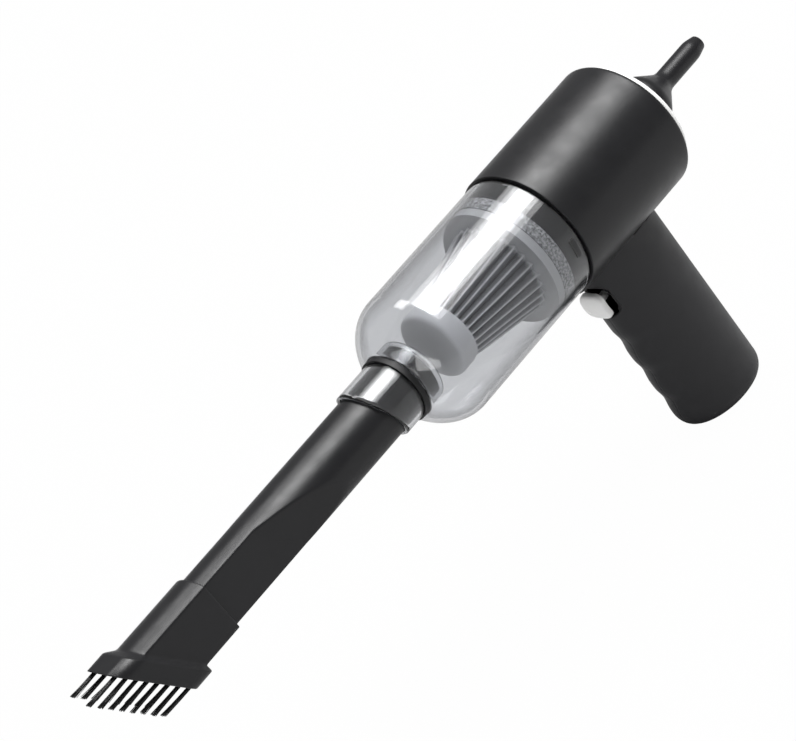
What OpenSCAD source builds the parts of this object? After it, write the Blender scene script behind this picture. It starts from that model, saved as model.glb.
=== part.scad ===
// Hand vacuum cleaner with a clear dust cup, a crevice tube with a brush, and a blower nozzle.
// Y runs along the motor axis with the suction end at -Y. The grip stands on Z = 0.

/* [Motor housing] */
// Outer radius of the motor housing
body_r = 30.9; // [29:0.1:33]
// Length of the housing from the cup seam to its rear edge
body_len = 69.4; // [66:0.2:76]
// Wall of the housing
body_wall = 2.2; // [1.6:0.1:2.6]
// Height of the motor axis over the foot of the grip
axis_h = 126; // [118:1:138]
// Distance from the cup seam back to the middle of the grip foot
foot_back = 49.5; // [46:0.1:53]

/* [Rear cover] */
// Step from the housing in to the pale rear cover
cover_inset = 2.7; // [2:0.1:4]
// How far the rear cover stands out
cover_out = 4; // [3:0.1:5]
// Number of exhaust slots
slot_count = 18; // [12:1:24]

/* [Dust cup] */
// Wall of the clear cup
cup_wall = 1.8; // [1.5:0.1:2]
// Length of the straight part of the cup
cup_len = 69.2; // [66:0.1:74]
// Depth of the domed nose
dome_depth = 22; // [20:0.5:26]
// Outer radius of the intake neck
neck_r = 14.5; // [14.2:0.1:15.5]
// Length of the neck from the nose to the middle of its mouth
neck_out = 14; // [12:0.5:18]
// Slant of the neck's mouth
mouth_slant = 21; // [10:1:24]

/* [Filter] */
// Radius over the pleats at the front
filter_front_r = 15; // [13.6:0.1:15.6]
// Radius over the pleats at the rear
filter_rear_r = 22.2; // [20:0.1:23]
// Length of the pleated cone
filter_len = 37.5; // [34:0.5:40]
// Number of pleats
pleat_count = 28; // [24:1:40]

/* [Crevice tube] */
// Radius of the round part of the tube
tube_r = 12.85; // [12.4:0.05:13]
// Wall of the tube
tube_wall = 1.8; // [1.4:0.1:2]
// Length of the round part
tube_round_len = 60; // [54:1:70]
// Length over which the tube's flats sink in
tube_ramp_len = 32; // [24:0.5:38]
// Length of the flat part
tube_flat_len = 71; // [62:1:78]
// Thickness of the flat part, across its two flats
tube_flat_t = 13; // [11.4:0.2:15]

/* [Brush] */
// Slant of the brush face
brush_slant = 39; // [25:1:44]
// Wall of the sleeve round the tube
sleeve_wall = 1.3; // [1:0.1:1.6]
// Length of the sleeve from the middle of the brush face
sleeve_len = 40.2; // [36:0.2:46]
// How far the shoe stands out round the sleeve
shoe_out = 2.4; // [2.2:0.1:3.2]
// Length of the bristles
bristle_len = 15; // [11:0.5:18]
// Number of tufts in a row
tuft_count = 8; // [6:1:8]

/* [Grip] */
// Length of the grip's section along the motor axis
grip_l = 47; // [44:0.5:48]
// Thickness of the grip
grip_w = 33; // [32:0.5:35]
// Wall of the grip shells
grip_wall = 2.4; // [2:0.1:2.6]
// Rake of the grip
rake = 8.3; // [6:0.1:10]
// Pitch of the finger grooves
groove_pitch = 18; // [15:0.2:18.4]

/* [Trigger] */
// Height of the trigger
trigger_h = 13; // [12:0.1:14]
// Width of the trigger
trigger_w = 12; // [10:0.2:13]
// Travel of the trigger
trigger_travel = 2.5; // [1.5:0.1:3]

/* [Blower nozzle] */
// Radius of the blower's stem
stem_r = 4.5; // [4:0.1:5]
// Length of the straight stem
stem_len = 21.6; // [18:0.2:28]
// Radius of the blower's socket plug
plug_r = 9.5; // [8.5:0.1:10]

/* [Hidden] */
$fn = 96;
hull_fn = 32;
black = "#262628";
ink = "#1a1a1c";
pale = "#f2f2f0";
grey = "#a9abad";
smoke = "#c8ccd0";
steel = "#b8bcc0";
cut = 1;
seat_gap = 0.05;
free_gap = 0.3;
run_gap = 0.05;

// Stations along Y
seam_y = -foot_back;
seam_gap = 0.6;
body_front_y = seam_y;
body_rear_y = seam_y + body_len;
cup_rear_y = seam_y - seam_gap;
dome_y = cup_rear_y - cup_len;
nose_y = dome_y - dome_depth;
mouth_y = nose_y - neck_out;
cup_step = 1;
cup_r = body_r - cup_step;
cup_in_r = cup_r - cup_wall;
neck_in_r = tube_r + run_gap;
duct_in_len = 13;
tube_back = 1.5;
duct_end_y = nose_y + duct_in_len;
nose_to_cup = dome_depth + cup_len;
ring_z = 0.3;
neck_ring_h = 0.8;
neck_ring_l = 2.4;

// Housing details
body_in_r = body_r - body_wall;
rear_lip = 2;
rear_round = 1.5;
cover_r = body_r - cover_inset;
cover_rim = 2.6;
rear_hole_r = cover_r - cover_rim;
hatch_l = 18;
hatch_w = 16;

// Rear cover
cover_round = 2.4;
cover_plug_len = 3;
socket_wall = 1.8;
socket_r = plug_r + run_gap;
socket_len = 12;
slot_w = 1.7;
slot_room = 1.7;
slot_in_r = socket_r + socket_wall + slot_room;
slot_out_r = rear_hole_r - socket_wall - slot_room;
outlet_face = 2.2;

// Bayonet ring and filter
ring_wall = 2.2;
ring_in_cup = 9.6;
ring_in_body = 6;
ring_r = cup_in_r - free_gap;
lug_h = 0.95;
lug_l = 2.6;
lug_arc = 16;
groove_depth = 0.95;
lug_front = 5;
twist_max = 22;
carrier_r = cup_in_r - 0.7;
carrier_len = 4;
seal_len = 6;
seal_r = cup_in_r - free_gap;
carrier_hole_r = 16;
filter_cap_len = 8.6;
cap_lip = 0.6;
pleat_depth = 2.6;
pleat_wall = 1.1;
carrier_seat = 1.6;
ring_front_y = cup_rear_y - ring_in_cup;
seal_front_y = ring_front_y - seal_len;
carrier_front_y = seal_front_y - carrier_len;
filter_rear_y = carrier_front_y;
filter_front_y = filter_rear_y - filter_len;
cap_front_y = filter_front_y - filter_cap_len;

// Motor
shroud_y = body_front_y + ring_in_body + 1;
shroud_len = 13;
shroud_wall = 1.5;
shroud_r = body_in_r - seat_gap;
inlet_r = 10;
fan_side = 5.15;
fan_r = shroud_r - shroud_wall - fan_side;
fan_len = 7;
fan_gap = 1.2;
blade_count = 11;
blade_t = 1;
hub_r = 5;
blade_lean = 28;
shaft_r = 1.5;
mount_y = shroud_y + shroud_len;
mount_t = 2;
can_r = 14;
can_room = 9.4;
can_wall = 1.2;
bearing_r = 4;
bearing_len = 3;
can_y = mount_y + mount_t;
can_len = body_rear_y + cover_out - socket_len - can_room - can_y;
shaft_front_y = shroud_y + shroud_wall - 1;
shaft_rear_y = can_y + can_len + 1.5;
nut_af = 3.2;
nut_t = 2.2;

// Grip
top_share = 0.8;
grip_top_z = axis_h - body_r * top_share;
foot_round = 7;
foot_shares = [0.6, 0.26];
foot_lift = 0.6;
slice_h = 0.2;
cover_edge = 0.3;
groove_r = 26;
groove_sink = 1.2;
groove_in = 0.6;
groove_wide = grip_w / 2 - groove_in;
groove_count = 3;
boss_r = 3;
screw_r = 1.2;
screw_head_r = 2.4;
screw_head_t = 1.8;
screw_depth = 6;
screw_bite = 8.5;
post_r = 2;
post_back = 4;

// Trigger and what it presses
trigger_room = 19.3;
trigger_z = grip_top_z - trigger_room;
groove_drop = 29.3;
first_groove_z = trigger_z - groove_drop;
boss_drop = 9.5;
boss_rise = 9;
boss_low_z = trigger_z - boss_drop;
boss_high_z = trigger_z + boss_rise;
boss_in = 10;
boss_rear = grip_l / 2 - boss_in;
boss_front = -4;
screw_places = [[boss_low_z, boss_rear], [boss_high_z, boss_rear], [boss_high_z, boss_front]];
trigger_out = 3.6;
trigger_gap = 0.3;
trigger_corner = 3.4;
trigger_face_r = 16;
flange_side = 1.6;
flange_t = 1.8;
flange_back = 6;
push_d = 2.8;
push_len = 3.2;
spring_r = 2.7;
spring_wall = 0.9;
spring_len = 6;
switch_size = [6, 6, 8];
board_t = 1.6;
board_front = 16;
board_tail = 3.6;
board_size = [grip_l - board_front - grip_wall - board_tail, 11];
socket_size = [3.2, 7.4, 9];
socket_gap = 0.1;

// Cells
cell_r = 7.1;
cell_gap = 2.4;
cell_apart = 8.2;
tray_z = 12.5;
tray_t = 1.6;
cell_len = boss_low_z - boss_r - tray_z - tray_t - cell_gap;

// Tube, brush and bristles
tube_rear_y = duct_end_y - tube_back;
ramp_rear_y = tube_rear_y - tube_round_len;
ramp_front_y = ramp_rear_y - tube_ramp_len;
tube_mouth_y = ramp_front_y - tube_flat_len;
sleeve_gap = 0.1;
shoe_lip = 6.5;
shoe_front_y = tube_mouth_y - shoe_lip;
shoe_corner = 6;
slot_t = 6.2;
shoe_len = 9.5;
shoe_chamfer = 3.2;
sleeve_tilt = 8;
sleeve_out = sleeve_gap + sleeve_wall;
brush_reach = 2 * tube_r;
strip_t = 1.2;
strip_w = 2;
strip_end = 1.5;
strand_root = 0.7;
short_by = 2.4;
tuft_pitch = 3.98;
row_gap = 11.4;
strand_t = 0.3;
strand_pitch = 0.38;
strands_across = 4;
strands_along = 5;
splay = 0.5;

// Blower
plug_len = 11;
base_r = 12.5;
base_len = 12;
base_round = 1.2;
cone_len = 11.4;
tip_len = 5.2;
tip_r = 3.3;
stem_bore = 2.6;
plug_wall = 1.8;

// Puts children on the motor axis at a station; their +z runs to the rear and their +y down
module at_station(y) translate([0, y, axis_h]) rotate([-90, 0, 0]) children();

// Ring of a given inner and outer radius
module ring(r_out, r_in, len) difference() {
    cylinder(r = r_out, h = len);
    translate([0, 0, -cut]) cylinder(r = r_in, h = len + 2 * cut);
}

// Sector of a ring, centred on +y
module arc_block(r_out, r_in, len, arc) intersection() {
    ring(r_out, r_in, len);
    reach = 2 * r_out;
    linear_extrude(len) polygon([[0, 0], reach * [sin(-arc / 2), cos(arc / 2)],
        reach * [sin(arc / 2), cos(arc / 2)]]);
}

module body_shell() color(black) at_station(body_front_y) difference() {
    rotate_extrude() difference() {
        union() {
            square([body_r, body_len - rear_round]);
            square([body_r - rear_round, body_len]);
            translate([body_r - rear_round, body_len - rear_round]) circle(r = rear_round);
        }
        translate([-cut, -cut]) square([body_in_r + cut, body_len - rear_lip + cut]);
        translate([-cut, -cut]) square([rear_hole_r + cut, body_len + 2 * cut]);
        translate([-body_r, -cut]) square([body_r, body_len + 2 * cut]);
    }
    translate([-hatch_w / 2, 0, grip_mid_y(axis_h - body_r) - body_front_y - hatch_l / 2])
        cube([hatch_w, body_r + cut, hatch_l]);
}

module rear_cover() color(pale) at_station(body_rear_y) difference() {
    union() {
        rotate_extrude() difference() {
            union() {
                square([cover_r, cover_out - cover_round]);
                square([cover_r - cover_round, cover_out]);
                translate([cover_r - cover_round, cover_out - cover_round]) circle(r = cover_round);
            }
            translate([-cut, -cut]) square([rear_hole_r - socket_wall + cut, cover_out - outlet_face + cut]);
            translate([-cover_r, -cover_r]) square([cover_r, 2 * cover_r]);
            translate([-cover_r, -cover_r]) square([2 * cover_r, cover_r]);
        }
        translate([0, 0, -cover_plug_len])
            ring(rear_hole_r - seat_gap, rear_hole_r - socket_wall, cover_plug_len);
        translate([0, 0, cover_out - socket_len]) cylinder(r = socket_r + socket_wall, h = socket_len);
    }
    translate([0, 0, cover_out - socket_len - cut]) cylinder(r = socket_r, h = socket_len + 2 * cut);
    for (i = [0 : slot_count - 1]) rotate([0, 0, (i + 0.5) * 360 / slot_count])
        translate([-slot_w / 2, slot_in_r, cover_out - outlet_face - cut])
            cube([slot_w, slot_out_r - slot_in_r, outlet_face + 2 * cut]);
}

module bayonet_ring() color(ink) at_station(ring_front_y) {
    ring(ring_r, ring_r - ring_wall, ring_in_cup);
    translate([0, 0, ring_in_cup]) ring(ring_r, ring_r - ring_wall, seam_gap);
    translate([0, 0, ring_in_cup + seam_gap]) ring(body_in_r - seat_gap, ring_r - ring_wall, ring_in_body);
    for (a = [0, 180]) rotate([0, 0, a + 90]) translate([0, 0, lug_front])
        arc_block(ring_r + lug_h, ring_r - ring_wall / 2, lug_l, lug_arc);
}

module filter_seal() color(grey) at_station(seal_front_y)
    ring(seal_r, ring_r - ring_wall, seal_len);

module filter_carrier() color(smoke) at_station(carrier_front_y) {
    ring(carrier_r, carrier_hole_r, carrier_seat);
    ring(carrier_r, carrier_r - ring_wall, carrier_len);
    ring(ring_r - ring_wall - seat_gap, ring_r - 2 * ring_wall, carrier_len + seal_len + ring_in_cup / 2);
}

// Star outline of the pleats
function pleat_points(r_top, r_low) = [for (i = [0 : 2 * pleat_count - 1])
    let (a = i * 180 / pleat_count, r = i % 2 == 0 ? r_top : r_low) [r * cos(a), r * sin(a)]];

module filter_pleats() color("#5a5b5e") at_station(filter_front_y)
    linear_extrude(filter_len, scale = filter_rear_r / filter_front_r) difference() {
        polygon(pleat_points(filter_front_r, filter_front_r - pleat_depth));
        polygon(pleat_points(filter_front_r - pleat_wall - pleat_depth / 2,
            filter_front_r - pleat_wall - pleat_depth));
    }

module filter_cap() color(smoke) at_station(cap_front_y) rotate_extrude() {
    cap_r = filter_front_r + cap_lip;
    round_r = filter_cap_len / 4;
    difference() {
        union() {
            translate([0, round_r]) square([cap_r, filter_cap_len - round_r]);
            square([cap_r - round_r, filter_cap_len]);
            translate([cap_r - round_r, round_r]) circle(r = round_r);
        }
        translate([-cap_r, -cap_r]) square([cap_r, 2 * filter_cap_len + cap_r]);
        translate([-cap_r, -cap_r]) square([2 * cap_r, cap_r]);
    }
}

module fan_shroud() color(ink) at_station(shroud_y) {
    ring(shroud_r, inlet_r, shroud_wall);
    ring(shroud_r, shroud_r - shroud_wall, shroud_len);
}

module impeller() color(grey) at_station(shroud_y + shroud_wall + fan_gap) difference() {
    union() {
        translate([0, 0, fan_len - blade_t]) cylinder(r = fan_r, h = blade_t);
        cylinder(r = hub_r, h = fan_len);
        for (i = [0 : blade_count - 1]) rotate([0, 0, i * 360 / blade_count])
            translate([hub_r - blade_t, -blade_t / 2, 0]) rotate([0, 0, blade_lean])
                cube([fan_r - hub_r - blade_t, blade_t, fan_len - blade_t / 2]);
    }
    translate([0, 0, -cut]) cylinder(r = shaft_r, h = fan_len + 2 * cut);
}

module impeller_nut() color(steel) at_station(shroud_y + shroud_wall + fan_gap - nut_t) difference() {
    cylinder(r = nut_af, h = nut_t, $fn = 6);
    translate([0, 0, -cut]) cylinder(r = shaft_r, h = nut_t + 2 * cut);
}

module motor_shaft() color(steel) at_station(shaft_front_y)
    cylinder(r = shaft_r, h = shaft_rear_y - shaft_front_y);

module motor_mount() color(ink) at_station(mount_y) difference() {
    cylinder(r = shroud_r, h = mount_t);
    translate([0, 0, -cut]) cylinder(r = bearing_r + seat_gap, h = mount_t + 2 * cut);
    for (i = [0 : 5]) rotate([0, 0, i * 60]) translate([0, (can_r + shroud_r) / 2, -cut])
        cylinder(r = bearing_r, h = mount_t + 2 * cut);
}

module motor_can() color(steel) at_station(can_y) difference() {
    cylinder(r = can_r, h = can_len);
    translate([0, 0, can_wall]) cylinder(r = can_r - can_wall, h = can_len - 2 * can_wall);
    translate([0, 0, -cut]) cylinder(r = bearing_r + seat_gap, h = can_len + 2 * cut);
}

module bearing() ring(bearing_r, shaft_r + run_gap, bearing_len);

module front_bearing() color(steel) at_station(mount_y) bearing();

module rear_bearing() color(steel) at_station(can_y + can_len - bearing_len) bearing();

// Middle of the grip along Y at a height
function grip_mid_y(z) = -z * tan(rake);

// Points of an oval
function oval(a, b) = [for (i = [0 : 2 * hull_fn - 1])
    let (t = i * 180 / hull_fn) [a * cos(t), b * sin(t)]];

// Puts children on the raked centre line of the grip at a height
module in_grip(z) translate([0, grip_mid_y(z), z]) rotate([rake, 0, 0]) children();

// One horizontal slice of the grip, smaller by an inset
module grip_slice(z, inset) translate([0, grip_mid_y(z), z])
    linear_extrude(slice_h) polygon(oval(grip_w / 2 - inset, grip_l / 2 - inset));

// The grip as one rounded form, or the room inside it
module grip_form(inset) hull() {
    grip_slice(grip_top_z, inset);
    grip_slice(inset + foot_round, inset);
    grip_slice(inset + foot_round / 3, inset + foot_round * foot_shares[1]);
    grip_slice(inset + foot_lift, inset + foot_round * foot_shares[0]);
}

// Half ring that cuts one finger groove across the front of the grip
module finger_groove(z) in_grip(z) translate([0, groove_wide + groove_sink - grip_l / 2, 0])
    rotate([0, 0, 180]) rotate_extrude(angle = 180) translate([groove_wide + groove_r, 0])
        circle(r = groove_r);

module grip_bosses() for (p = screw_places) in_grip(p[0]) translate([-grip_w / 2, p[1], 0])
    rotate([0, 90, 0]) cylinder(r = boss_r, h = grip_w);

module screw_holes(r) for (p = screw_places) in_grip(p[0]) translate([-grip_w / 2 - cut, p[1], 0])
    rotate([0, 90, 0]) cylinder(r = r, h = grip_w / 2 + screw_bite + free_gap + cut);

module trigger_window() in_grip(trigger_z) translate([0, -grip_l / 2 + flange_back / 2 - cut / 2, 0])
    cube([trigger_w + 2 * trigger_gap, flange_back + cut, trigger_h + 2 * trigger_gap], center = true);

module socket_slot() in_grip(trigger_z) translate([0, grip_l / 2, 0])
    cube([socket_size[0] + 2 * socket_gap, 2 * flange_back, socket_size[2] + 2 * socket_gap], center = true);

module grip_whole() difference() {
    grip_form(0);
    difference() {
        grip_form(grip_wall);
        grip_bosses();
    }
    at_station(body_front_y - body_len) cylinder(r = body_r + seat_gap, h = 3 * body_len);
    for (i = [0 : groove_count - 1]) finger_groove(first_groove_z - i * groove_pitch);
    trigger_window();
    socket_slot();
    translate([0, 0, -cut]) linear_extrude(foot_lift + grip_wall + 2 * cut) base_outline(seat_gap);
}

module half_space(side) translate([side > 0 ? 0 : -grip_l, -axis_h, -cut])
    cube([grip_l, 2 * axis_h, 2 * axis_h]);

module base_outline(grow) {
    inset = grip_wall + foot_round * foot_shares[0] + cover_edge - grow;
    polygon(oval(grip_w / 2 - inset, grip_l / 2 - inset));
}

module grip_left() color(black) difference() {
    union() {
        intersection() {
            grip_whole();
            half_space(1);
        }
        in_grip(trigger_z) translate([socket_size[0] / 2 + board_t, post_back, 0]) rotate([0, 90, 0])
            cylinder(r = post_r, h = grip_w / 2 - grip_wall / 2 - socket_size[0] / 2 - board_t);
    }
    screw_holes(screw_r);
}

module grip_right() color(black) difference() {
    intersection() {
        grip_whole();
        half_space(-1);
    }
    screw_holes(screw_r + seat_gap);
    for (p = screw_places) in_grip(p[0]) translate([-grip_w / 2 - cut, p[1], 0]) rotate([0, 90, 0])
        cylinder(r = screw_head_r + seat_gap, h = screw_depth + cut);
}

module grip_screws() color(steel) for (p = screw_places) in_grip(p[0])
    translate([-grip_w / 2 + screw_depth, p[1], 0]) rotate([0, 90, 0]) {
        translate([0, 0, -screw_head_t]) cylinder(r = screw_head_r, h = screw_head_t);
        cylinder(r = screw_r, h = grip_w / 2 - screw_depth + screw_bite);
    }

module base_cover() color(ink) linear_extrude(foot_lift + grip_wall) base_outline(0);

module cell_tray() color(ink) in_grip(tray_z) linear_extrude(tray_t)
    polygon(oval(grip_w / 2 - grip_wall - free_gap, (grip_l / 2 - grip_wall) * cos(rake) - free_gap));

module battery_cells() color("#3d6ea8") in_grip(tray_z) for (side = [-1, 1])
    translate([0, side * cell_apart, tray_t]) cylinder(r = cell_r, h = cell_len);

module circuit_board() color("#1f5a3c") in_grip(trigger_z)
    translate([socket_size[0] / 2, board_front - grip_l / 2, -board_size[1] / 2])
        cube([board_t, board_size[0], board_size[1]]);

module charge_socket() color(steel) in_grip(trigger_z)
    translate([-socket_size[0] / 2, grip_l / 2 - grip_wall / 2 - socket_size[1], -socket_size[2] / 2])
        difference() {
            cube(socket_size);
            translate([board_t / 2, socket_size[1] / 3, board_t / 2])
                cube([socket_size[0] - board_t, socket_size[1], socket_size[2] - board_t]);
        }

module power_switch() color(ink) in_grip(trigger_z)
    translate([socket_size[0] / 2 - switch_size[0], flange_back + flange_t + spring_len - grip_l / 2,
        -switch_size[2] / 2]) cube(switch_size);

module trigger_spring() color(steel) in_grip(trigger_z)
    translate([0, -grip_l / 2 + flange_back + flange_t, 0]) rotate([-90, 0, 0])
        ring(spring_r, spring_r - spring_wall, spring_len);

// Rectangle with round corners, centred
module round_rect(wide, high, r, fn = $fn) {
    square([wide - 2 * r, high], center = true);
    square([wide, high - 2 * r], center = true);
    for (x = [-1, 1], y = [-1, 1]) translate([x * (wide / 2 - r), y * (high / 2 - r)])
        circle(r = r, $fn = fn);
}

module trigger() color(pale) in_grip(trigger_z) translate([0, -grip_l / 2 - trigger_out, 0]) {
    depth = trigger_out + flange_back;
    intersection() {
        rotate([-90, 0, 0]) linear_extrude(depth) round_rect(trigger_w, trigger_h, trigger_corner);
        translate([-trigger_w, trigger_face_r, 0]) rotate([0, 90, 0])
            cylinder(r = trigger_face_r, h = 2 * trigger_w);
    }
    translate([-trigger_w / 2 - flange_side, depth, -trigger_h / 2 - flange_side])
        cube([trigger_w + 2 * flange_side, flange_t, trigger_h + 2 * flange_side]);
    translate([0, depth + flange_t, 0]) rotate([-90, 0, 0]) cylinder(d = push_d, h = push_len);
}

// Half outline of a domed tube, from the tip of the dome to the open rear
function dome_points(r, depth, len) = concat(
    [for (i = [0 : hull_fn]) let (a = i * 90 / hull_fn) [r * sin(a), depth * (1 - cos(a))]],
    [[r, depth + len], [0, depth + len]]);

module dust_cup() color([0.8, 0.83, 0.86, 0.5]) at_station(nose_y) {
    lug_z = nose_to_cup - ring_in_cup + lug_front;
    difference() {
        rotate_extrude() difference() {
            union() {
                polygon(dome_points(cup_r, dome_depth, cup_len));
                translate([0, -2 * neck_out]) square([neck_r, 2 * neck_out + duct_in_len]);
            }
            difference() {
                translate([0, cup_wall]) polygon(dome_points(cup_in_r, dome_depth - cup_wall, cup_len + cut));
                square([neck_r, duct_in_len]);
            }
            translate([-cut, -3 * neck_out]) square([neck_in_r + cut, 3 * neck_out + duct_in_len + cut]);
            translate([cup_in_r - cut, lug_z - free_gap]) square([groove_depth + cut, lug_l + 2 * free_gap]);
        }
        translate([0, 0, -neck_out]) rotate([mouth_slant, 0, 0])
            translate([-2 * neck_r, -2 * neck_r, -3 * neck_out]) cube([4 * neck_r, 4 * neck_r, 3 * neck_out]);
        for (a = [0, 180]) rotate([0, 0, a + 90 - twist_max]) translate([0, 0, lug_z])
            arc_block(cup_in_r + groove_depth, cup_in_r - cut, nose_to_cup - lug_z + cut, lug_arc + 2);
    }
}

module neck_ring() color(ink) at_station(nose_y + ring_z)
    ring(neck_r + neck_ring_h, neck_r + seat_gap, neck_ring_l);

// A circle cut to two flats
module cut_round(r, thick) intersection() {
    circle(r = r);
    square([thick, 4 * r], center = true);
}

// Outline of the tube's flat part, larger or smaller by a wall
module tube_outline(grow) cut_round(tube_r + grow, tube_flat_t + 2 * grow);

// Takes the flat and its slanted ramp off one side of the round tube
module flat_cut(side, inset) {
    low = tube_flat_t / 2 - inset;
    high = 2 * tube_r - inset;
    run = tube_ramp_len * cos(brush_slant);
    rise = run * tube_r / (tube_r - tube_flat_t / 2);
    far = tube_ramp_len + tube_flat_len + 4 * tube_r;
    at_station(ramp_rear_y) rotate([brush_slant, 0, 0]) rotate([90, 0, 0])
        linear_extrude(2 * far, center = true)
            polygon([[side * low, -run], [side * low, -far],
                [side * high, -far], [side * high, rise]]);
}

// The tube's form as one solid, or the duct inside it
module tube_form(inset) difference() {
    reach = 2 * tube_r;
    at_station(tube_mouth_y - reach)
        cylinder(r = tube_r - inset, h = tube_rear_y - tube_mouth_y + reach + (inset > 0 ? cut : 0));
    for (side = [-1, 1]) flat_cut(side, inset);
}

// Takes away what lies ahead of a slanted plane through a station
module slant_cut(y) at_station(y) rotate([brush_slant, 0, 0])
    translate([-2 * brush_reach, -2 * brush_reach, -3 * brush_reach])
        cube([4 * brush_reach, 4 * brush_reach, 3 * brush_reach]);

module crevice_tube() color(black) difference() {
    tube_form(0);
    tube_form(tube_wall);
    slant_cut(tube_mouth_y);
}

// A thin slanted slice of the shoe
module shoe_slice(y, grow) at_station(y) rotate([brush_slant, 0, 0]) linear_extrude(slice_h)
    round_rect(tube_flat_t + 2 * grow, (2 * tube_r + 2 * grow) / cos(brush_slant), shoe_corner, hull_fn);

// The bar that one row of bristles is rooted in, or its seat in the shoe
module root_bar(side, grow) {
    ahead = grow > 0 ? cut : 0;
    half = ((tuft_count - 1) / 2 * tuft_pitch + strip_end) / cos(brush_slant) + grow;
    at_station(shoe_front_y) rotate([brush_slant, 0, 0])
        translate([side * row_gap / 2 - strip_w / 2 - grow, -half, -ahead])
            cube([strip_w + 2 * grow, 2 * half, strip_t + grow + ahead]);
}

module brush_head() color(black) difference() {
    union() {
        difference() {
            at_station(shoe_front_y - brush_reach) linear_extrude(sleeve_len + 2 * brush_reach)
                tube_outline(sleeve_out);
            at_station(shoe_front_y + sleeve_len) rotate([sleeve_tilt, 0, 0])
                translate([-2 * brush_reach, -2 * brush_reach, 0])
                    cube([4 * brush_reach, 4 * brush_reach, 2 * brush_reach]);
        }
        hull() {
            shoe_slice(shoe_front_y - cut, sleeve_out + shoe_out);
            shoe_slice(shoe_front_y + shoe_len, sleeve_out + shoe_out);
            shoe_slice(shoe_front_y + shoe_len + shoe_chamfer, sleeve_out);
        }
    }
    slant_cut(shoe_front_y);
    difference() {
        at_station(shoe_front_y - brush_reach) linear_extrude(sleeve_len + 2 * brush_reach)
            tube_outline(sleeve_gap);
        slant_cut(tube_mouth_y);
    }
    at_station(shoe_front_y - brush_reach) linear_extrude(sleeve_len + 2 * brush_reach)
        cut_round(tube_r - tube_wall, slot_t);
    for (side = [-1, 1]) root_bar(side, seat_gap);
}

// One row of bristles: square strands in tufts, spread a little, fused to the bar that they grow from
module bristle_row(side, len) {
    root_bar(side, 0);
    for (i = [0 : tuft_count - 1], a = [0 : strands_across - 1], b = [0 : strands_along - 1]) {
        across = a - (strands_across - 1) / 2;
        along = b - (strands_along - 1) / 2;
        x = side * row_gap / 2 + across * strand_pitch;
        y = (i - (tuft_count - 1) / 2) * tuft_pitch + along * strand_pitch;
        at_station(shoe_front_y) translate([x, y, tan(brush_slant) * y + strand_root])
            rotate([along * splay, -across * splay, 0])
                translate([-strand_t / 2, -strand_t / 2, -len - strand_root])
                    cube([strand_t, strand_t, len + strand_root]);
    }
}

module bristle_row_left() color(ink) bristle_row(1, bristle_len);

module bristle_row_right() color(ink) bristle_row(-1, bristle_len - short_by);

module blower_nozzle() color(black) at_station(body_rear_y + cover_out + free_gap) rotate_extrude() {
    base_end = base_len;
    stem_start = base_len + cone_len;
    stem_end = stem_start + stem_len;
    difference() {
        polygon([[0, -plug_len], [plug_r, -plug_len], [plug_r, 0], [base_r - base_round, 0],
            [base_r, base_round], [base_r, base_end], [stem_r, stem_start], [stem_r, stem_end],
            [tip_r, stem_end + tip_len], [0, stem_end + tip_len]]);
        translate([-cut, -plug_len - cut]) square([stem_bore + cut, stem_end + tip_len + plug_len + 2 * cut]);
        translate([-cut, -plug_len - cut]) polygon([[0, 0], [plug_r - plug_wall + cut, 0],
            [plug_r - plug_wall + cut, plug_len + base_end], [stem_bore + cut, plug_len + stem_start],
            [0, plug_len + stem_start]]);
    }
}

body_shell();
rear_cover();
bayonet_ring();
filter_carrier();
filter_seal();
filter_pleats();
filter_cap();
grip_left();
grip_right();
grip_screws();
base_cover();
fan_shroud();
motor_mount();
motor_can();
front_bearing();
rear_bearing();
motor_shaft();
impeller();
impeller_nut();
cell_tray();
battery_cells();
circuit_board();
charge_socket();
power_switch();
trigger_spring();
trigger();
dust_cup();
neck_ring();
crevice_tube();
brush_head();
bristle_row_left();
bristle_row_right();
blower_nozzle();
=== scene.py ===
# Hand vacuum cleaner, lit plainly on a pale floor.
# Lengths are in millimetres until a mesh is made. Y is the motor axis, the suction end is at -Y.
import math

import bmesh
import bpy
import numpy as np
from mathutils import Matrix, Vector


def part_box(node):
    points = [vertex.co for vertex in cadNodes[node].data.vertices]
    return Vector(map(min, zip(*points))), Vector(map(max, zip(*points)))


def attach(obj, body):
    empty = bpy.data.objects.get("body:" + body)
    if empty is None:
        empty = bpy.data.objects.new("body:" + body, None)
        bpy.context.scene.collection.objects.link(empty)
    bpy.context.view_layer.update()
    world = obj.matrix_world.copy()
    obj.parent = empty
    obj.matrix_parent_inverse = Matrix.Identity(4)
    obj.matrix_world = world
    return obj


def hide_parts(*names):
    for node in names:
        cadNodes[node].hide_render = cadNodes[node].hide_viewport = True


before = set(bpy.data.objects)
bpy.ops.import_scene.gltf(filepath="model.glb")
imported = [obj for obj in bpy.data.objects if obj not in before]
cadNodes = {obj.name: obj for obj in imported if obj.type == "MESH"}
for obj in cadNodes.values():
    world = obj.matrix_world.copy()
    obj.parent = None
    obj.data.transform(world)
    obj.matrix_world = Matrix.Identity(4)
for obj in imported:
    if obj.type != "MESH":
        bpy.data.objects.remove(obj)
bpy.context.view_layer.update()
mm = 0.001
tau = 2 * math.pi
weldReach = 1e-7          # metres: points closer than this become one
nearZero = 1e-9           # keeps a division or a corner from meeting nothing
noiseSpan = (0.3, 0.7)    # nearly all values of a noise texture lie between these


# Low and high corners of a CAD node's box, in mm
def boxOf(node):
    low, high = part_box(node)
    return np.array(low) / mm, np.array(high) / mm


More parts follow.
